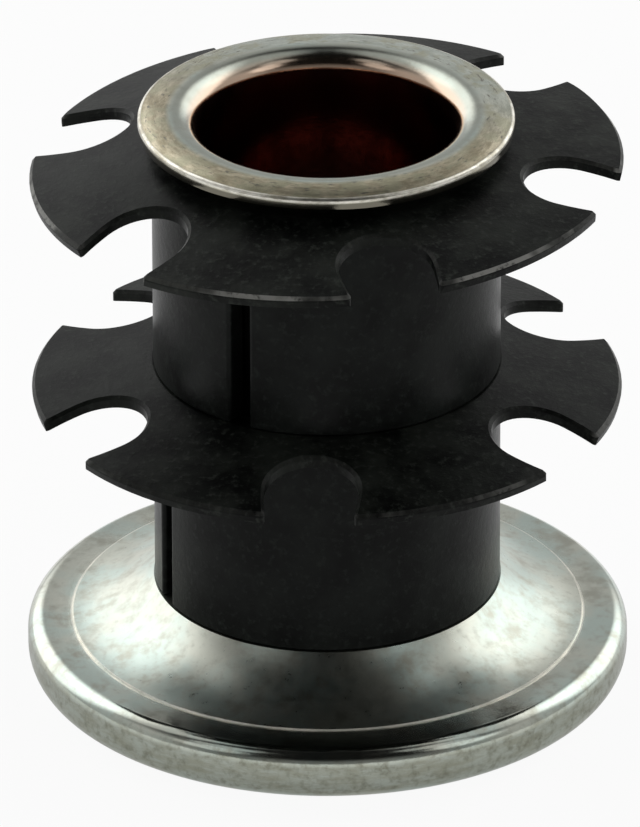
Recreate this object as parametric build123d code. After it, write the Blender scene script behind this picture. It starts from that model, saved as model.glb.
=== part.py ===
from build123d import *
from math import cos, hypot, radians, sin, sqrt, tan
import os

# Threaded insert that closes the end of a round steel tube and takes a caster stem.
# Millimetres. The origin is the centre of the flange's flat underside and +Z runs
# along the axis, into the tube. -Y is the side that the photograph shows.

# Round tube that the insert is made for
tube_d = 25.4
tube_wall = 0.9

# Flange, as wide as the tube, whose cut end it covers
flange_rim_h = 2.5
rim_top_r = 0.7
rim_bottom_r = 1.2

# Raised cove inside the tube, between the flange's flat and the lower spacer's seat
cove_play = 1.0
cove_step_w = 0.3
cove_step_h = 0.12
step_edge_w = 0.03
step_edge_h = 0.08
cove_start_angle = 8.0
seat_h = 4.4
seat_margin = 0.05

# Spacers: sleeves rolled from strip, so each has an open seam
spacer_d = 14.6
spacer_wall = 1.0
spacer_h = 9.65
spacer_edge = 0.1
seam_gap = 0.85
seam_edge_r = 0.2
lower_seam_angle = 202.0
upper_seam_angle = 240.0

# Star washers: dished spring steel sheet with six punched notches. The teeth are wider
# than the tube's bore and bite into it.
tooth_bite = 0.6
washer_t = 0.5
washer_edge = 0.13
sheared_land = 0.2
break_angle = 14.0
washer_teeth = 6
dish_angle = 12.0
dish_margin = 0.05
dish_overrun = 0.2
notch_land = 1.25
notch_w = 3.95
notch_mouth_w = 3.6
tooth_tip_r = 0.18
lower_notch_angle = 26.5
upper_notch_angle = 43.4
upper_dish_lean = 2.15

# Shank, and the radial play that the spacers and washers have round it
shank_play = 0.1

# Tail of the shank, flared over the upper washer to hold the stack
flare_bend_r = 1.05
flare_gap = 0.02
lip_d = 15.74
lip_t = 0.55
lip_top_edge_r = 0.15
lip_under_edge_r = 0.08
crown_d = 12.8
crown_rise = 0.15
flare_mouth_h = 0.8

# Bore: a 3/8-16 thread, drawn at its tap drill, under a plain counterbore
thread_minor_d = 7.94
thread_l = 16.0
thread_chamfer = 1.1
counterbore_d = 10.92

flange_r = tube_d / 2
tube_bore_r = flange_r - tube_wall
cove_r = tube_bore_r - cove_play
spacer_r = spacer_d / 2
washer_r = tube_bore_r + tooth_bite
lip_r = lip_d / 2
crown_r = crown_d / 2
thread_r = thread_minor_d / 2
counterbore_r = counterbore_d / 2
seat_r = spacer_r + seat_margin
dish_land_r = spacer_r + dish_margin
notch_bottom_r = dish_land_r + notch_land
shank_r = spacer_r - spacer_wall - shank_play
hole_r = shank_r + shank_play

# Heights of the stack, each from the piece below it
lower_spacer_z = seat_h
lower_washer_top = lower_spacer_z + spacer_h + washer_t
upper_spacer_z = lower_washer_top
upper_washer_top = upper_spacer_z + spacer_h + washer_t

# The flare's underside bends round an arc that bears on the edge of the washer's hole
flare_drop = sqrt(flare_bend_r**2 - (flare_bend_r - shank_play) ** 2)
flare_start_z = upper_washer_top + flare_gap - flare_drop
lip_z = flare_start_z + flare_bend_r
lip_top_z = lip_z + lip_t
crown_z = lip_top_z + crown_rise


def flange_outline():
    """Underside, rounded rim, flat, fine step with its crisp edge, and cove."""
    underside_in = (thread_r + thread_chamfer, 0)
    underside_out = (flange_r - rim_bottom_r, 0)
    rim_low = (flange_r, rim_bottom_r)
    rim_high = (flange_r, flange_rim_h - rim_top_r)
    flat_out = (flange_r - rim_top_r, flange_rim_h)
    flat_in = (cove_r + cove_step_w, flange_rim_h)
    cove_foot = (cove_r, flange_rim_h + cove_step_h)
    edge_foot = (cove_r + step_edge_w, flange_rim_h + cove_step_h - step_edge_h)
    cove_top = (seat_r, seat_h)
    slope = radians(cove_start_angle)
    return [
        Line(underside_in, underside_out),
        TangentArc(underside_out, rim_low, tangent=(1, 0)),
        Line(rim_low, rim_high),
        TangentArc(rim_high, flat_out, tangent=(0, 1)),
        Line(flat_out, flat_in),
        Line(flat_in, edge_foot),
        Line(edge_foot, cove_foot),
        TangentArc(cove_foot, cove_top, tangent=(-cos(slope), sin(slope))),
    ]


def tail_outline():
    """Shank, concave bend under the lip, lip's edge and crowned top, into the bore."""
    bend_foot = (shank_r, flare_start_z)
    bend_end = (shank_r + flare_bend_r, lip_z)
    lip_under = (lip_r - lip_under_edge_r, lip_z)
    lip_side_low = (lip_r, lip_z + lip_under_edge_r)
    lip_side_high = (lip_r, lip_top_z - lip_top_edge_r)
    lip_top = (lip_r - lip_top_edge_r, lip_top_z)
    crown = (crown_r, crown_z)
    mouth_centre = (crown_r, crown_z - flare_mouth_h)
    return [
        Line((seat_r, seat_h), (shank_r, seat_h)),
        Line((shank_r, seat_h), bend_foot),
        TangentArc(bend_foot, bend_end, tangent=(0, 1)),
        Line(bend_end, lip_under),
        TangentArc(lip_under, lip_side_low, tangent=(1, 0)),
        Line(lip_side_low, lip_side_high),
        TangentArc(lip_side_high, lip_top, tangent=(0, 1)),
        TangentArc(crown, lip_top, tangent=(1, 0)),
        EllipticalCenterArc(
            mouth_centre,
            x_radius=crown_r - counterbore_r,
            y_radius=flare_mouth_h,
            start_angle=90,
            arc_size=90,
        ),
    ]


def bore_outline():
    """Counterbore, its conical floor, the thread's minor diameter and its lead-in."""
    floor_drop = counterbore_r - thread_r
    return [
        Polyline(
            (counterbore_r, crown_z - flare_mouth_h),
            (counterbore_r, thread_l + floor_drop),
            (thread_r, thread_l),
            (thread_r, thread_chamfer),
            (thread_r + thread_chamfer, 0),
        )
    ]


def make_body():
    """Flange, cove, shank and flared tail in one turned piece."""
    edges = Curve() + flange_outline() + tail_outline() + bore_outline()
    section = Plane.XZ * make_face(edges)
    return revolve(section, axis=Axis.Z)


def outside(radius):
    """Test for corners, edges and faces whose middle lies outside a radius."""
    return lambda shape: hypot(shape.center().X, shape.center().Y) > radius


def make_spacer(base_z, seam_angle):
    """Rolled sleeve with an open seam, rounded at the seam and broken at the ends."""
    ring = Circle(spacer_r) - Circle(hole_r)
    seam = Pos(spacer_r, 0) * Rectangle(spacer_d, seam_gap)
    profile = ring - seam
    corners = profile.vertices().filter_by(outside(shank_r + spacer_wall))
    profile = fillet(corners, seam_edge_r)
    sleeve = extrude(profile, spacer_h)
    ends = sleeve.faces().filter_by(Plane.XY).edges()
    sleeve = chamfer(ends.filter_by(outside(spacer_r - seam_edge_r)), spacer_edge)
    return Pos(0, 0, base_z) * Rot(0, 0, seam_angle) * sleeve


def notch_outline():
    """One punched notch on the +X side: a round bottom with sides that draw in."""
    half_w = notch_w / 2
    half_mouth = notch_mouth_w / 2
    centre_x = notch_bottom_r + half_w
    outer_x = washer_r + half_w
    bottom = ThreePointArc((centre_x, half_w), (centre_x - half_w, 0), (centre_x, -half_w))
    upper_side = TangentArc((centre_x, half_w), (washer_r, half_mouth), tangent=(1, 0))
    lower_side = TangentArc((centre_x, -half_w), (washer_r, -half_mouth), tangent=(1, 0))
    opening = Polyline(
        (washer_r, half_mouth),
        (outer_x, half_mouth),
        (outer_x, -half_mouth),
        (washer_r, -half_mouth),
    )
    return make_face(Curve() + [bottom, upper_side, opening, lower_side])


def washer_blank():
    """Flat outline of the star, with its first notch on the +X side."""
    notch = notch_outline()
    notches = [Rot(0, 0, 360 / washer_teeth * i) * notch for i in range(washer_teeth)]
    star = Circle(washer_r) - notches
    tips = star.vertices().filter_by(outside(washer_r - tooth_tip_r / 2))
    star = fillet(tips, tooth_tip_r)
    return star - Circle(hole_r)


def dished_sheet(lean):
    """Sheet that is flat over the hub and falls outside it to a rim, which may lean."""
    reach = washer_r + dish_overrun
    drop = (reach - dish_land_r) * tan(radians(dish_angle))
    hub = Circle(dish_land_r).face()
    rim = Pos(0, 0, -drop) * Rot(0, -lean, 0) * Circle(reach).face()
    skirt = loft([hub, rim], ruled=True).faces().filter_by(GeomType.PLANE, reverse=True)[0]
    down = (0, 0, -1)
    return extrude(hub, washer_t, dir=down) + extrude(skirt, washer_t, dir=down)


def break_cone(lean):
    """Cone that draws the rim's cut edge in, below the land that the punch sheared."""
    rim_z = -(washer_r - dish_land_r) * tan(radians(dish_angle))
    draw = washer_r * tan(radians(break_angle))
    cone = Cone(washer_r - draw, washer_r + draw, 2 * washer_r)
    return Pos(0, 0, rim_z - sheared_land) * Rot(0, -lean, 0) * cone


def make_star_washer(top_z, notch_angle, lean=0.0):
    """Notched blank, dished towards the flange, its punched edge broken on top."""
    blank = extrude(Rot(0, 0, notch_angle) * washer_blank(), washer_r, both=True)
    star = dished_sheet(lean) & blank & break_cone(lean)
    skirts = star.faces().filter_by(GeomType.PLANE, reverse=True).sort_by(SortBy.AREA)[-2:]
    skirt_top = skirts.sort_by(Axis.Z)[-1]
    punched = skirt_top.edges().filter_by(outside(dish_land_r + dish_margin))
    return Pos(0, 0, top_z) * chamfer(punched, washer_edge)


parts = {
    "body": make_body(),
    "lower_spacer": make_spacer(lower_spacer_z, lower_seam_angle),
    "lower_star_washer": make_star_washer(lower_washer_top, lower_notch_angle),
    "upper_spacer": make_spacer(upper_spacer_z, upper_seam_angle),
    "upper_star_washer": make_star_washer(
        upper_washer_top, upper_notch_angle, upper_dish_lean
    ),
}

os.makedirs("parts", exist_ok=True)
for name, part in parts.items():
    export_step(part, f"parts/{name}.step")
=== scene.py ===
from math import atan2, cos, degrees, hypot, pi, radians, sin, sqrt

import bpy
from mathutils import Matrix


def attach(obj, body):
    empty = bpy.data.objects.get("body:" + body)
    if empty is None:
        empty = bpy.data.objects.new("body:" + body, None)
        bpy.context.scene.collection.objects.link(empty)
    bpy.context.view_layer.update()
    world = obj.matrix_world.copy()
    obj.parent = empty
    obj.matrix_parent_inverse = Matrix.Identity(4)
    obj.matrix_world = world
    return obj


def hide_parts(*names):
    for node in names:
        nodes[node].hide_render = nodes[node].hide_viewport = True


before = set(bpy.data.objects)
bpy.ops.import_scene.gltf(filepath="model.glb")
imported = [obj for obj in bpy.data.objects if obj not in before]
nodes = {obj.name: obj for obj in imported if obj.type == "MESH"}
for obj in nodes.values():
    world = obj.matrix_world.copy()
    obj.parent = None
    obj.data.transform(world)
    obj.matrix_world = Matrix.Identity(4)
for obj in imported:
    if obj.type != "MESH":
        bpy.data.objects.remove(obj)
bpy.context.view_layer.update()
MM = 0.001

# Sizes of the body in millimetres, as in the CAD source
FLANGE_R, RIM_H, RIM_TOP_R, RIM_BOTTOM_R = 12.7, 2.5, 0.7, 1.2
COVE_R, STEP_W, STEP_H, COVE_SLOPE = 10.8, 0.3, 0.12, 8.0
STEP_EDGE_W, STEP_EDGE_H = 0.03, 0.08
SEAT_R, SEAT_H = 7.35, 4.4
SHANK_R, SHANK_PLAY = 6.2, 0.1
BEND_R, LIP_R, LIP_T, CROWN_R, CROWN_RISE, MOUTH_H = 1.05, 7.87, 0.55, 6.4, 0.15, 0.8
LIP_TOP_R, LIP_UNDER_R = 0.15, 0.08
WASHER_TOP, FLARE_GAP = 24.70, 0.02
THREAD_R, THREAD_MAJOR_R, PITCH, THREAD_L, CHAMFER = 3.97, 4.7625, 1.5875, 16.0, 1.1
CREST_SHARE, ROOT_SHARE = 0.25, 0.125
BORE_R, BORE_MID_Z = 5.46, 22.0
FLARE_START = WASHER_TOP + FLARE_GAP - sqrt(BEND_R**2 - (BEND_R - SHANK_PLAY) ** 2)
LIP_Z = FLARE_START + BEND_R
LIP_TOP = LIP_Z + LIP_T
CROWN_Z = LIP_TOP + CROWN_RISE
THREAD_TOP = THREAD_L + BORE_R - THREAD_R

# Fineness of the body's mesh: how many columns, rows of the thread and steps of each arc
TURNS, THREAD_ROWS = 192, 194
RIM_STEPS, COVE_STEPS, BEND_STEPS, CROWN_STEPS, MOUTH_STEPS = 12, 16, 8, 8, 12
LIP_UNDER_STEPS, LIP_TOP_STEPS = 4, 7

# Points of the outline nearer than this, in millimetres, are one. Edges that bend by more
# than this, in degrees, are shaded sharp
SAME_POINT = 1e-4
SHARP_ANGLE = 28


# ---------------------------------------------------------------- outlines
def arc(centre, radius_r, radius_z, start, end, steps):
    """Points of an elliptic arc in the (r, z) plane, angles in degrees."""
    points = []
    for i in range(steps + 1):
        a = radians(start + (end - start) * i / steps)
        points.append((centre[0] + radius_r * cos(a), centre[1] + radius_z * sin(a)))
    return points


def tangent_arc(start, end, direction, steps):
    """Arc from start to end that leaves start along direction."""
    (x0, z0), (x1, z1) = start, end
    dx, dz = direction
    nx, nz = -dz, dx
    chord = (x1 - x0, z1 - z0)
    k = (chord[0] ** 2 + chord[1] ** 2) / (2 * (chord[0] * nx + chord[1] * nz))
    cx, cz = x0 + k * nx, z0 + k * nz
    a0 = atan2(z0 - cz, x0 - cx)
    a1 = atan2(z1 - cz, x1 - cx)
    if k > 0 and a1 < a0:
        a1 += 2 * pi
    if k < 0 and a1 > a0:
        a1 -= 2 * pi
    return arc((cx, cz), abs(k), abs(k), degrees(a0), degrees(a1), steps)


def quarter(centre, radius, start, steps):
    """Quarter of a circle in the (r, z) plane."""
    return arc(centre, radius, radius, start, start + 90, steps)


def body_profile():
    """Closed outline of the body without its thread, from the underside outwards."""
    slope = radians(COVE_SLOPE)
    cove_foot = (COVE_R, RIM_H + STEP_H)
    cove_top = (SEAT_R, SEAT_H)
    lip_edge = (LIP_R - LIP_TOP_R, LIP_TOP)
    rim_low = (FLANGE_R - RIM_BOTTOM_R, RIM_BOTTOM_R)
    rim_high = (FLANGE_R - RIM_TOP_R, RIM_H - RIM_TOP_R)
    lip_low = (LIP_R - LIP_UNDER_R, LIP_Z + LIP_UNDER_R)
    lip_high = (LIP_R - LIP_TOP_R, LIP_TOP - LIP_TOP_R)
    mouth = (CROWN_R, CROWN_Z - MOUTH_H)
    points = [(THREAD_R + CHAMFER, 0.0), (FLANGE_R - RIM_BOTTOM_R, 0.0)]
    points += quarter(rim_low, RIM_BOTTOM_R, -90, RIM_STEPS)
    points += quarter(rim_high, RIM_TOP_R, 0, RIM_STEPS)
    points += [(COVE_R + STEP_W, RIM_H)]
    points += [(COVE_R + STEP_EDGE_W, RIM_H + STEP_H - STEP_EDGE_H)]
    points += tangent_arc(cove_foot, cove_top, (-cos(slope), sin(slope)), COVE_STEPS)
    points += [(SHANK_R, SEAT_H), (SHANK_R, FLARE_START)]
    points += arc((SHANK_R + BEND_R, FLARE_START), BEND_R, BEND_R, 180, 90, BEND_STEPS)
    points += quarter(lip_low, LIP_UNDER_R, -90, LIP_UNDER_STEPS)
    points += quarter(lip_high, LIP_TOP_R, 0, LIP_TOP_STEPS)
    points += tangent_arc((CROWN_R, CROWN_Z), lip_edge, (1, 0), CROWN_STEPS)[::-1]
    points += arc(mouth, CROWN_R - BORE_R, MOUTH_H, 90, 180, MOUTH_STEPS)
    points += [(BORE_R, BORE_MID_Z), (BORE_R, THREAD_TOP)]
    kept = [points[0]]
    for p in points[1:]:
        if hypot(p[0] - kept[-1][0], p[1] - kept[-1][1]) > SAME_POINT:
            kept.append(p)
    return kept


def thread_radius(angle, z):
    """Radius of the threaded wall: a right-hand 60 degree thread with its lead-ins."""
    u = (z / PITCH - angle / (2 * pi)) % 1.0
    flank = (1 - CREST_SHARE - ROOT_SHARE) / 2
    if u < CREST_SHARE:
        depth = 0.0
    elif u < CREST_SHARE + flank:
        depth = (u - CREST_SHARE) / flank
    elif u < CREST_SHARE + flank + ROOT_SHARE:
        depth = 1.0
    else:
        depth = (1 - u) / flank
    wall = THREAD_R + (THREAD_MAJOR_R - THREAD_R) * depth
    mouth = THREAD_R + CHAMFER - z
    run_out = THREAD_R + z - THREAD_L
    return max(wall, mouth, run_out)


def make_body_mesh(name):
    """Lathe of the body's outline, closed by the threaded wall inside, and shaded."""
    angles = [2 * pi * i / TURNS for i in range(TURNS)]
    outline = body_profile()
    rings = [[(r, z)] * TURNS for r, z in outline]
    for j in range(1, THREAD_ROWS):
        z = THREAD_TOP * (1 - j / THREAD_ROWS)
        rings.append([(thread_radius(a, z), z) for a in angles])
    vertices = [
        (r * cos(a) * MM, r * sin(a) * MM, z * MM)
        for ring in rings
        for a, (r, z) in zip(angles, ring)
    ]
    faces = []
    for j in range(len(rings)):
        k = (j + 1) % len(rings)
        for i in range(TURNS):
            n = (i + 1) % TURNS
            faces.append((j * TURNS + i, j * TURNS + n, k * TURNS + n, k * TURNS + i))
    mesh = bpy.data.meshes.new(name)
    mesh.from_pydata(vertices, [], faces)
    mesh.validate()
    mesh.shade_smooth()
    mesh.set_sharp_from_angle(angle=radians(SHARP_ANGLE))
    # The helix crosses the rows of the thread, so nothing inside it is shaded sharp
    for edge in mesh.edges:
        if min(edge.vertices) >= len(outline) * TURNS:
            edge.use_edge_sharp = False
    return mesh


# --------------------------------------------------------------- materials
def rgb(red, green, blue):
    """Opaque colour for a socket."""
    return (red, green, blue, 1)


# Where the body's finish, painted highlights and painted shade change, in millimetres:
# each mask grows from 0 at the first radius or height of its pair to 1 at the second
SIDE_R, SIDE_Z = (12.15, 12.60), (2.40, 1.70)
LIP_BAND_R, LIP_BAND_Z = (6.45, 6.80), (25.40, 25.80)
LIP_RIM_R, LIP_RIM_Z = (7.70, 7.76), (25.60, 25.70)
THROAT_R, THROAT_Z = (6.60, 6.35), (24.60, 25.00)
UNDER_LIP_R = (6.30, 6.40)
UNDER_LIP_LOW_Z, UNDER_LIP_HIGH_Z = (24.00, 24.20), (25.70, 25.60)
STEP_IN_R, STEP_OUT_R = (10.74, 10.78), (10.92, 10.86)
STEP_LOW_Z, STEP_HIGH_Z = (2.35, 2.45), (2.80, 2.70)
SHANK_IN_R, SHANK_OUT_R = (6.00, 6.10), (6.40, 6.30)
SHANK_LOW_Z, SHANK_HIGH_Z = (4.35, 4.45), (24.40, 24.20)
BORE_BAND_R, BORE_BAND_Z = (5.95, 5.50), (11.0, 17.0)
BORE_DEEP_Z, BORE_MOUTH_Z = (23.5, 15.0), (24.5, 25.5)
COVE_BAND_R, COVE_BAND_Z = (10.95, 10.60), (7.0, 6.0)
POLISHED_R, POLISHED_Z = (11.0, 12.1), (20.0, 22.0)

# Mottling of the zinc: each part grows between two levels of its noise. The olive on the
# lip stops at OLIVE_MOST, and the streaks dim the step's painted highlight to STEP_LEAST
CLOUD_LEVELS, BLOTCH_LEVELS, GRAIN_LEVELS = (0.38, 0.64), (0.46, 0.72), (0.50, 0.85)
SIDE_STREAKS, SIDE_FLECKS = (0.36, 0.66), (0.44, 0.78)
LIP_STREAKS, LIP_OLIVES, LIP_SCRATCHES = (0.34, 0.66), (0.44, 0.60), (0.57, 0.68)
RIM_STREAKS, STEP_STREAKS, COPPER_GRAIN = (0.40, 0.62), (0.36, 0.62), (0.35, 0.70)
OLIVE_MOST, STEP_LEAST = 0.7, 0.35

# The lip is painted warmer towards the front and, by the skew, towards the left, as a
# painted reflection
WARM_SKEW, WARM_SPAN = 0.35, (0.75, -0.15)

# How far the lip's and the throat's colours cover the plate
LIP_COVER, THROAT_COVER = 0.9, 0.7

# Colours of the zinc plate and of its painted highlights, reflections and shade
ZINC_COOL, ZINC_WARM = rgb(0.50, 0.58, 0.53), rgb(0.57, 0.585, 0.51)
ZINC_BLOTCH, ZINC_GRAIN = rgb(0.41, 0.415, 0.35), rgb(0.42, 0.43, 0.375)
SIDE_LIGHT, SIDE_DARK = rgb(0.44, 0.475, 0.42), rgb(0.34, 0.35, 0.28)
SIDE_FLECK = rgb(0.23, 0.235, 0.18)
BEIGE_DARK, BEIGE_LIGHT = rgb(0.30, 0.25, 0.15), rgb(0.68, 0.60, 0.43)
GREEN_DARK, GREEN_LIGHT = rgb(0.42, 0.46, 0.40), rgb(0.64, 0.68, 0.61)
LIP_OLIVE, LIP_SCRATCH = rgb(0.44, 0.43, 0.29), rgb(0.16, 0.145, 0.11)
LIP_RIM_HIGHLIGHT, LIP_RIM_DARK = rgb(0.80, 0.78, 0.70), rgb(0.40, 0.375, 0.30)
THROAT_GREY = rgb(0.36, 0.38, 0.33)
UNDER_LIP_SHADE = rgb(0.16, 0.15, 0.12)
STEP_HIGHLIGHT = rgb(0.93, 0.90, 0.80)
SHANK_SHADE = rgb(0.02, 0.02, 0.018)
COPPER_LIGHT, COPPER_DARK = rgb(0.36, 0.135, 0.10), rgb(0.22, 0.065, 0.045)
COPPER_DEEP_SHADE, COPPER_MOUTH_REFLECTION = rgb(0.05, 0.016, 0.012), rgb(0.60, 0.44, 0.33)

# Roughness of the zinc: the least, what its grain adds and what each place changes
ZINC_LEAST, ZINC_BY_GRAIN = 0.14, 0.20
SMOOTH_FLANGE, SMOOTH_TAIL = -0.11, -0.10
ROUGH_COVE, ROUGH_SIDE, ROUGH_STEP, ROUGH_LIP, ROUGH_RIM = 0.07, 0.08, 0.15, 0.06, 0.12

# Mottling of the black oxide, as for the zinc, and what the grain does to its colour and
# roughness
BLACK_CLOUD, BLACK_GRAIN = (0.35, 0.68), (0.50, 0.74)
GRAIN_BRIGHTER, BLACK_BY_GRAIN = 1.8, 0.16

# Grey edges of the black pieces, part worn and part a painted highlight: how far up their
# faces look, where they are, and how much is left inside, lower down under painted shade
# and where it is least rubbed
WEAR_AND_HIGHLIGHT_GREY = rgb(0.30, 0.30, 0.28)
EDGE_TILT_HIGH, EDGE_TILT_LOW = (0.94, 0.88), (0.40, 0.48)
EDGE_MARK_R, EDGE_MARK_Z = (12.0, 12.2), (15.0, 20.0)
RUB_LEVELS, EDGE_MARK_GRAIN = (0.46, 0.60), (0.25, 0.50)
INNER_WEAR_AND_HIGHLIGHT, LOWER_SHADED_SHARE, LEAST_RUB = 0.12, 0.3, 0.15

# Depths of the bumps in millimetres, and the strength that all of them have
MARKS_DEPTH, STREAKS_DEPTH, FINE_DEPTH = 0.004, 0.010, 0.0022
BLACK_GRAIN_DEPTH, BLACK_FINE_DEPTH = 0.03, 0.008
BUMP_STRENGTH = 0.5

# Sockets of the mix node for colours
MIX_FACTOR, MIX_A, MIX_B, MIX_RESULT = 0, 6, 7, 2


class Tree:
    """Short calls for the nodes of a material or a world."""

    def __init__(self, owner):
        owner.use_nodes = True
        self.nodes = owner.node_tree.nodes
        self.links = owner.node_tree.links

    @property
    def shader(self):
        return self.nodes["Principled BSDF"]

    def add(self, kind, **values):
        node = self.nodes.new(kind)
        for key, value in values.items():
            setattr(node, key, value)
        return node

    def plug(self, value, socket):
        if isinstance(value, bpy.types.NodeSocket):
            self.links.new(value, socket)
        else:
            socket.default_value = value

    def math(self, operation, a, b=0.0, c=None):
        node = self.add("ShaderNodeMath", operation=operation)
        self.plug(a, node.inputs[0])
        self.plug(b, node.inputs[1])
        if c is not None:
            self.plug(c, node.inputs[2])
        return node.outputs[0]

    def times(self, first, *others):
        """Product, such as of masks that all have to hold."""
        for other in others:
            first = self.math("MULTIPLY", first, other)
        return first

    def plus(self, value, mask, amount):
        """Value with an amount added in proportion to a mask."""
        return self.math("MULTIPLY_ADD", mask, amount, value)

    def ramp(self, value, low, high, out_low=0.0, out_high=1.0):
        node = self.add("ShaderNodeMapRange", interpolation_type="SMOOTHSTEP")
        for socket, item in zip(node.inputs, (value, low, high, out_low, out_high)):
            self.plug(item, socket)
        return node.outputs[0]

    def mix(self, factor, a, b):
        node = self.add("ShaderNodeMix", data_type="RGBA")
        self.plug(factor, node.inputs[MIX_FACTOR])
        self.plug(a, node.inputs[MIX_A])
        self.plug(b, node.inputs[MIX_B])
        return node.outputs[MIX_RESULT]

    def noise(self, vector, scale, detail, roughness, w=None):
        node = self.add("ShaderNodeTexNoise")
        if w is not None:
            node.noise_dimensions = "4D"
            self.plug(w, node.inputs["W"])
        self.plug(vector, node.inputs["Vector"])
        node.inputs["Scale"].default_value = scale
        node.inputs["Detail"].default_value = detail
        node.inputs["Roughness"].default_value = roughness
        return node.outputs["Fac"]

    def position(self):
        """Object coordinates in millimetres."""
        source = self.add("ShaderNodeTexCoord").outputs["Object"]
        node = self.add("ShaderNodeVectorMath", operation="SCALE")
        self.plug(source, node.inputs[0])
        node.inputs["Scale"].default_value = 1 / MM
        return node.outputs[0]

    def split(self, vector):
        """X, Y and Z of a vector."""
        node = self.add("ShaderNodeSeparateXYZ")
        self.plug(vector, node.inputs[0])
        return node.outputs

    def combine(self, x, y, z):
        node = self.add("ShaderNodeCombineXYZ")
        for item, socket in zip((x, y, z), node.inputs):
            self.plug(item, socket)
        return node.outputs[0]

    def polar(self, vector):
        """Radius, cosine and sine of the angle, and height of a position."""
        x, y, z = self.split(vector)
        squares = self.math("MULTIPLY_ADD", x, x, self.math("MULTIPLY", y, y))
        radius = self.math("SQRT", squares)
        return radius, self.math("DIVIDE", x, radius), self.math("DIVIDE", y, radius), z

    def turned(self, polar, across, along, detail, roughness):
        """Noise in streaks round the axis: across and along are its frequencies."""
        radius, cosine, sine, height = polar
        at = self.combine(
            self.times(cosine, along),
            self.times(sine, along),
            self.times(height, across),
        )
        return self.noise(at, 1.0, detail, roughness, self.times(radius, across))

    def bump(self, height, depth, normal=None):
        node = self.add("ShaderNodeBump")
        node.inputs["Strength"].default_value = BUMP_STRENGTH
        node.inputs["Distance"].default_value = depth * MM
        self.plug(height, node.inputs["Height"])
        if normal is not None:
            self.plug(normal, node.inputs["Normal"])
        return node.outputs[0]


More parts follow.
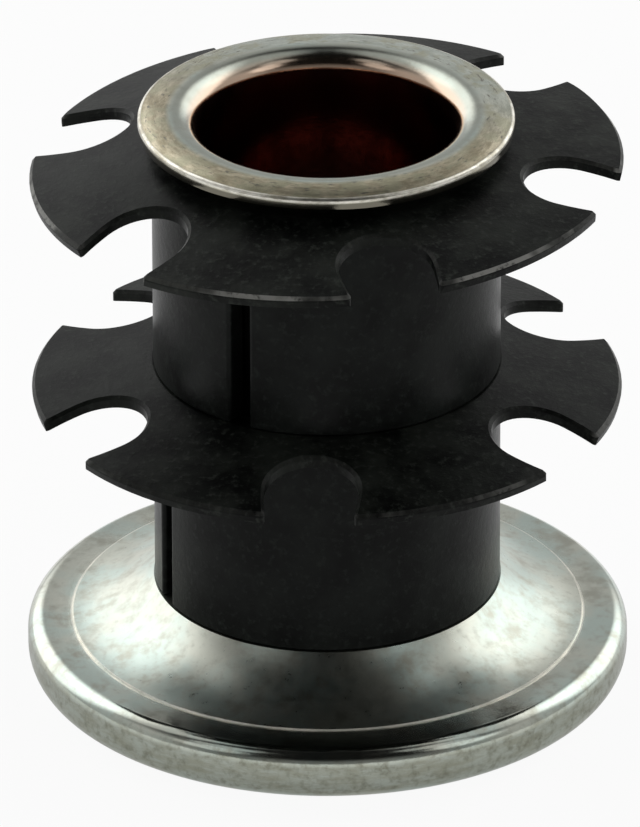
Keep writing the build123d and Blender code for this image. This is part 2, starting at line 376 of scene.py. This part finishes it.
def zinc_material():
    """Bright zinc plate with a mottled tint, turning marks and a coppery bore."""
    material = bpy.data.materials.new("zinc_plate")
    t = Tree(material)
    place = t.position()
    polar = t.polar(place)
    radius, cosine, sine, height = polar
    cloud = t.noise(place, scale=0.32, detail=4.0, roughness=0.55)
    grain = t.noise(place, scale=2.6, detail=5.0, roughness=0.6)
    blotch = t.noise(place, scale=0.95, detail=4.0, roughness=0.6)
    fine = t.noise(place, scale=11.0, detail=4.0, roughness=0.6)
    marks = t.turned(polar, across=7.0, along=14.0, detail=4.0, roughness=0.65)
    streaks = t.turned(polar, across=2.6, along=7.0, detail=6.0, roughness=0.7)
    tint = t.mix(t.ramp(cloud, *CLOUD_LEVELS), ZINC_COOL, ZINC_WARM)
    tint = t.mix(t.ramp(blotch, *BLOTCH_LEVELS), tint, ZINC_BLOTCH)
    tint = t.mix(t.ramp(grain, *GRAIN_LEVELS), tint, ZINC_GRAIN)

    # The rolled side of the flange is rougher, mottled in streaks and flecks, and painted
    # darker than its top as painted shade
    side = t.times(t.ramp(radius, *SIDE_R), t.ramp(height, *SIDE_Z))
    side_mottle_and_shade = t.mix(t.ramp(streaks, *SIDE_STREAKS), SIDE_LIGHT, SIDE_DARK)
    side_mottle_and_shade = t.mix(t.ramp(grain, *SIDE_FLECKS), side_mottle_and_shade, SIDE_FLECK)
    tint = t.mix(side, tint, side_mottle_and_shade)

    # The lip is burnished in streaks, painted warmer in front as a painted reflection,
    # with olive blotches and scratches
    lip = t.times(t.ramp(radius, *LIP_BAND_R), t.ramp(height, *LIP_BAND_Z))
    warm_reflection = t.ramp(t.plus(sine, cosine, WARM_SKEW), *WARM_SPAN)
    burnish = t.ramp(streaks, *LIP_STREAKS)
    beige = t.mix(burnish, BEIGE_DARK, BEIGE_LIGHT)
    green = t.mix(burnish, GREEN_DARK, GREEN_LIGHT)
    lip_tint = t.mix(warm_reflection, green, beige)
    olives = t.ramp(blotch, *LIP_OLIVES, 0.0, OLIVE_MOST)
    lip_tint = t.mix(olives, lip_tint, LIP_OLIVE)
    lip_tint = t.mix(t.ramp(marks, *LIP_SCRATCHES), lip_tint, LIP_SCRATCH)
    tint = t.mix(t.times(lip, LIP_COVER), tint, lip_tint)

    # Its outer edge is painted bright as a painted highlight, its throat is greyer and its
    # underside is painted dark as painted shade under the lip
    rim = t.times(t.ramp(radius, *LIP_RIM_R), t.ramp(height, *LIP_RIM_Z))
    rim_highlight = t.mix(t.ramp(streaks, *RIM_STREAKS), LIP_RIM_HIGHLIGHT, LIP_RIM_DARK)
    tint = t.mix(rim, tint, rim_highlight)
    throat = t.times(t.ramp(radius, *THROAT_R), t.ramp(height, *THROAT_Z))
    tint = t.mix(t.times(throat, THROAT_COVER), tint, THROAT_GREY)
    under = t.times(
        t.ramp(radius, *UNDER_LIP_R),
        t.ramp(height, *UNDER_LIP_HIGH_Z),
        t.ramp(height, *UNDER_LIP_LOW_Z),
    )
    tint = t.mix(under, tint, UNDER_LIP_SHADE)

    # The sharp edge of the fine step is painted bright: a painted highlight
    step_highlight = t.times(
        t.ramp(radius, *STEP_IN_R),
        t.ramp(radius, *STEP_OUT_R),
        t.ramp(height, *STEP_LOW_Z),
        t.ramp(height, *STEP_HIGH_Z),
        t.ramp(streaks, *STEP_STREAKS, 1.0, STEP_LEAST),
    )
    tint = t.mix(step_highlight, tint, STEP_HIGHLIGHT)

    # The shank that the sleeves' seams show is painted dark: painted shade in the gap
    # between the parts
    shank = t.times(
        t.ramp(radius, *SHANK_IN_R),
        t.ramp(radius, *SHANK_OUT_R),
        t.ramp(height, *SHANK_LOW_Z),
        t.ramp(height, *SHANK_HIGH_Z),
    )
    tint = t.mix(shank, tint, SHANK_SHADE)

    # The bore is coppery, painted pale at its mouth as a painted reflection and painted
    # darker with depth as painted shade
    inside = t.times(t.ramp(radius, *BORE_BAND_R), t.ramp(height, *BORE_BAND_Z))
    copper = t.mix(t.ramp(grain, *COPPER_GRAIN), COPPER_LIGHT, COPPER_DARK)
    copper = t.mix(t.ramp(height, *BORE_DEEP_Z), copper, COPPER_DEEP_SHADE)
    copper = t.mix(t.ramp(height, *BORE_MOUTH_Z), copper, COPPER_MOUTH_REFLECTION)
    t.plug(t.mix(inside, tint, copper), t.shader.inputs["Base Color"])
    t.shader.inputs["Metallic"].default_value = 1.0

    cove = t.times(t.ramp(radius, *COVE_BAND_R), t.ramp(height, *COVE_BAND_Z))
    changes = [
        (grain, ZINC_BY_GRAIN),
        (t.ramp(radius, *POLISHED_R), SMOOTH_FLANGE),
        (t.ramp(height, *POLISHED_Z), SMOOTH_TAIL),
        (cove, ROUGH_COVE),
        (side, ROUGH_SIDE),
        (step_highlight, ROUGH_STEP),
        (lip, ROUGH_LIP),
        (rim, ROUGH_RIM),
    ]
    rough = ZINC_LEAST
    for mask, amount in changes:
        rough = t.plus(rough, mask, amount)
    t.plug(rough, t.shader.inputs["Roughness"])

    normal = t.bump(marks, MARKS_DEPTH)
    normal = t.bump(streaks, STREAKS_DEPTH, normal)
    normal = t.bump(fine, FINE_DEPTH, normal)
    t.plug(normal, t.shader.inputs["Normal"])
    return material


def black_material(name, low, high, roughness, specular, wear_and_highlight):
    """Black oxide on steel: mottled and satin, with its broken edges grey, part worn and
    part a painted highlight.
    """
    material = bpy.data.materials.new(name)
    t = Tree(material)
    place = t.position()
    cloud = t.noise(place, scale=0.45, detail=5.0, roughness=0.6)
    grain = t.noise(place, scale=3.2, detail=5.0, roughness=0.65)
    fine = t.noise(place, scale=14.0, detail=3.0, roughness=0.6)
    rub = t.noise(place, scale=0.28, detail=3.0, roughness=0.6)
    bright = rgb(*(GRAIN_BRIGHTER * v for v in high[:3]))
    tint = t.mix(t.ramp(cloud, *BLACK_CLOUD), low, high)
    tint = t.mix(t.ramp(grain, *BLACK_GRAIN), tint, bright)

    # Grey, part worn and part a painted highlight, on the faces that lean like a broken
    # edge, most on the upper washer's rim and dimmed lower down as painted shade
    _, _, up = t.split(t.add("ShaderNodeNewGeometry").outputs["True Normal"])
    radius, _, _, height = t.polar(place)
    edge = t.times(
        t.ramp(up, *EDGE_TILT_HIGH),
        t.ramp(up, *EDGE_TILT_LOW),
        t.ramp(radius, *EDGE_MARK_R, INNER_WEAR_AND_HIGHLIGHT, 1.0),
        t.ramp(height, *EDGE_MARK_Z, LOWER_SHADED_SHARE, 1.0),
        t.plus(LEAST_RUB, t.ramp(rub, *RUB_LEVELS), 1 - LEAST_RUB),
        wear_and_highlight,
        t.ramp(grain, *EDGE_MARK_GRAIN),
    )
    t.plug(t.mix(edge, tint, WEAR_AND_HIGHLIGHT_GREY), t.shader.inputs["Base Color"])
    t.shader.inputs["Metallic"].default_value = 0.0
    t.shader.inputs["Specular IOR Level"].default_value = specular
    t.plug(t.plus(roughness, grain, BLACK_BY_GRAIN), t.shader.inputs["Roughness"])
    normal = t.bump(grain, BLACK_GRAIN_DEPTH)
    normal = t.bump(fine, BLACK_FINE_DEPTH, normal)
    t.plug(normal, t.shader.inputs["Normal"])
    return material


zinc = zinc_material()
spacer_black = black_material(
    "black_spacer",
    low=rgb(0.0035, 0.004, 0.0036),
    high=rgb(0.0105, 0.0125, 0.011),
    roughness=0.26,
    specular=0.09,
    wear_and_highlight=0.3,
)
washer_black = black_material(
    "black_spring",
    low=rgb(0.002, 0.0025, 0.0022),
    high=rgb(0.017, 0.0195, 0.0165),
    roughness=0.28,
    specular=0.07,
    wear_and_highlight=0.9,
)


def dress(name, material):
    """Puts a material on a CAD node."""
    data = nodes[name].data
    data.materials.clear()
    data.materials.append(material)


for name in ("lower_spacer", "upper_spacer"):
    dress(name, spacer_black)
for name in ("lower_star_washer", "upper_star_washer"):
    dress(name, washer_black)
dress("body", zinc)

body_mesh = make_body_mesh("insert_body_mesh")
body = bpy.data.objects.new("insert_body", body_mesh)
bpy.context.scene.collection.objects.link(body)
body_mesh.materials.append(zinc)
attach(body, "root")
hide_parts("body")


# ------------------------------------------------------------------- stage
# The floor lies a little under the object, so that it doesn't cut into its flat underside
FLOOR_HALF, FLOOR_DROP = 1.5, 0.02 * MM
FLOOR_COLOUR = rgb(0.92, 0.92, 0.92)

# How far the floor glows: for the camera, and in reflections near the object and far from
# it, with those distances from the axis in millimetres
GLOW_SEEN, GLOW_NEAR, GLOW_FAR = 0.93, 0.36, 0.92
SHADE_NEAR, SHADE_FAR = 13.5, 21.0


def floor_material():
    """Pale floor that keeps shadows and shows as the background in reflections."""
    material = bpy.data.materials.new("pale_floor")
    t = Tree(material)
    t.nodes.clear()
    diffuse = t.add("ShaderNodeBsdfDiffuse")
    diffuse.inputs["Color"].default_value = FLOOR_COLOUR
    glow = t.add("ShaderNodeEmission")
    path = t.add("ShaderNodeLightPath").outputs
    polished = t.math("ADD", path["Is Glossy Ray"], path["Is Transmission Ray"])
    # Close to the object its own shade dims the floor that its sides reflect
    distance = t.polar(t.position())[0]
    shade = t.ramp(distance, SHADE_NEAR, SHADE_FAR, GLOW_NEAR, GLOW_FAR)
    share = t.plus(t.times(polished, shade), path["Is Camera Ray"], GLOW_SEEN)
    mix = t.add("ShaderNodeMixShader")
    t.plug(share, mix.inputs[0])
    t.plug(diffuse.outputs[0], mix.inputs[1])
    t.plug(glow.outputs[0], mix.inputs[2])
    # From below the floor is clear, so that the object's underside can be seen
    sides = t.add("ShaderNodeMixShader")
    t.plug(t.add("ShaderNodeNewGeometry").outputs["Backfacing"], sides.inputs[0])
    t.plug(mix.outputs[0], sides.inputs[1])
    t.plug(t.add("ShaderNodeBsdfTransparent").outputs[0], sides.inputs[2])
    t.plug(sides.outputs[0], t.add("ShaderNodeOutputMaterial").inputs["Surface"])
    return material


floor_mesh = bpy.data.meshes.new("floor_mesh")
signs = ((-1, -1), (1, -1), (1, 1), (-1, 1))
corners = [(FLOOR_HALF * x, FLOOR_HALF * y, 0) for x, y in signs]
floor_mesh.from_pydata(corners, [], [(0, 1, 2, 3)])
floor = bpy.data.objects.new("floor", floor_mesh)
bpy.context.scene.collection.objects.link(floor)
floor_mesh.materials.append(floor_material())
floor.location.z = -FLOOR_DROP


def direction(azimuth, elevation):
    """Unit vector from the object; azimuth 0 is behind it, 90 to its left."""
    a, e = radians(azimuth), radians(elevation)
    return (-sin(a) * cos(e), cos(a) * cos(e), sin(e))


# The world's pale ring fades upwards between two heights on the sphere of directions. In
# front it is lower and dimmer
RING_LOW, RING_HIGH, RING_LIGHT, ABOVE_LIGHT = 0.50, 0.84, 0.54, 0.02
FRONT_FROM, FRONT_TO, FRONT_LOWER, FRONT_DIMMER = -0.25, -0.85, 0.3, -0.6

# Soft windows: direction, cosines of the angles where one starts and is full, strength
WINDOWS = [
    (direction(45, 25), 0.80, 0.93, 1.4),
    (direction(-47, 27), 0.835, 0.95, 1.4),
    (direction(52, 55), 0.88, 0.97, 0.6),
    (direction(-58, 56), 0.87, 0.97, 0.6),
    (direction(128, 54), 0.975, 0.992, 0.5),
    (direction(-124, 54), 0.975, 0.992, 0.6),
    (direction(132, 34), 0.965, 0.992, 0.7),
    (direction(-124, 34), 0.965, 0.992, 0.9),
]


def world_light():
    """Pale ring at the horizon, dim in front and dark above, with soft windows."""
    world = bpy.data.worlds.new("studio")
    bpy.context.scene.world = world
    t = Tree(world)
    t.nodes.clear()
    toward = t.add("ShaderNodeTexCoord").outputs["Generated"]
    _, _, sine, height = t.polar(toward)
    front = t.ramp(sine, FRONT_FROM, FRONT_TO)
    rise = t.plus(height, front, FRONT_LOWER)
    light = t.ramp(rise, RING_LOW, RING_HIGH, RING_LIGHT, ABOVE_LIGHT)
    light = t.times(light, t.plus(1.0, front, FRONT_DIMMER))
    for centre, outer, inner, strength in WINDOWS:
        near = t.add("ShaderNodeVectorMath", operation="DOT_PRODUCT")
        t.plug(toward, near.inputs[0])
        near.inputs[1].default_value = centre
        window = t.ramp(near.outputs["Value"], outer, inner, 0.0, strength)
        light = t.math("ADD", light, window)
    seen = t.add("ShaderNodeLightPath").outputs["Is Camera Ray"]
    back = t.add("ShaderNodeBackground")
    t.plug(t.mix(seen, t.combine(light, light, light), rgb(1, 1, 1)), back.inputs["Color"])
    t.plug(back.outputs[0], t.add("ShaderNodeOutputWorld").inputs["Surface"])


world_light()

# ------------------------------------------------------------------ camera
# Lens, place and turn as fitted to the photograph's outlines
SENSOR_MM, LENS_MM = 36.0, 616.5
CLIP_START, CLIP_END = 0.05, 10.0
CAMERA_PLACE = (0.0, -0.529075, 0.286679)
CAMERA_TURN = (62.5511, 0.14799, -0.04492)

camera_data = bpy.data.cameras.new("camera")
camera_data.sensor_fit = "AUTO"
camera_data.sensor_width = SENSOR_MM
camera_data.lens = LENS_MM
camera_data.clip_start = CLIP_START
camera_data.clip_end = CLIP_END
camera = bpy.data.objects.new("camera", camera_data)
bpy.context.scene.collection.objects.link(camera)
camera.location = CAMERA_PLACE
camera.rotation_euler = [radians(angle) for angle in CAMERA_TURN]
bpy.context.scene.camera = camera

bpy.context.scene.view_settings.view_transform = "Standard"
